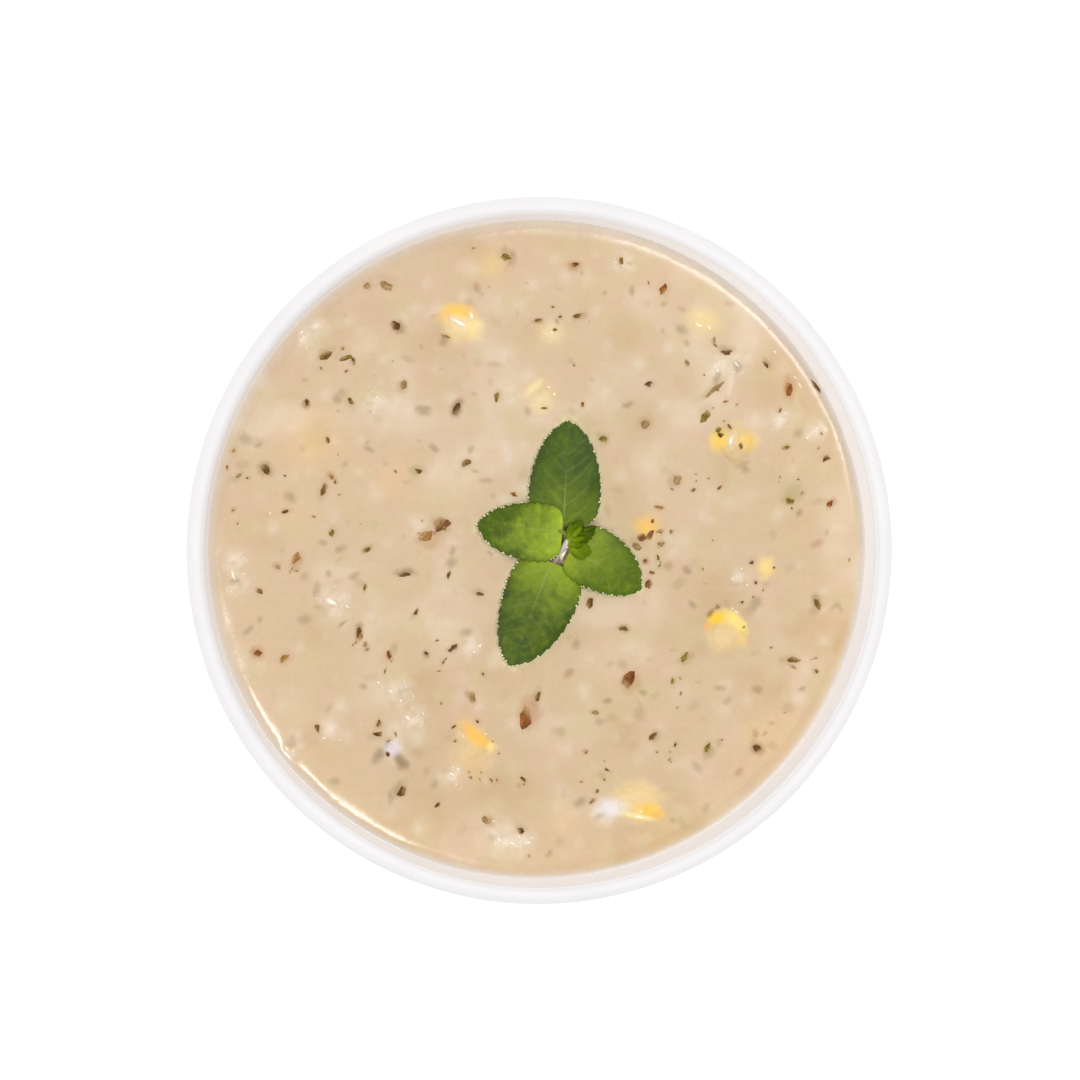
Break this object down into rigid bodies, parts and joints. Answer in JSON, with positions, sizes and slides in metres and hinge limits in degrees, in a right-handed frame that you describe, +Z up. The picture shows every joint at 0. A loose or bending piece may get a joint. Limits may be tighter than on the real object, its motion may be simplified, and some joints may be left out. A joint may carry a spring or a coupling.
{
  "type": "corn chowder in a paper soup bowl",
  "caption": "Round white paper soup bowl filled with creamy corn chowder, with herb flakes, sweetcorn kernels and a mint sprig on top.",
  "frame": {"origin": "centre of the bowl's foot, on the surface that the bowl stands on", "axes": "+Z up along the bowl's axis; +X to the right and +Y away from a person who leans over the bowl"},
  "size_m": [0.117, 0.117, 0.068],
  "materials": {
    "white_card": "matt white paper card with a faint tooth",
    "chowder": "wet creamy soup with herb flakes and lumps",
    "sweet_corn": "wet yellow kernel under a film of cream",
    "mint": "fresh green leaf with paler veins and a soft sheen"
  },
  "bodies": {
    "root": {"bowl": "white_card", "soup": "chowder", "corn_kernel_01": "sweet_corn", "corn_kernel_02": "sweet_corn", "corn_kernel_03": "sweet_corn", "corn_kernel_04": "sweet_corn", "corn_kernel_05": "sweet_corn", "corn_kernel_06": "sweet_corn", "corn_kernel_07": "sweet_corn", "corn_kernel_08": "sweet_corn", "corn_kernel_09": "sweet_corn", "corn_kernel_10": "sweet_corn", "mint_sprig": "mint"}
  },
  "joints": []
}
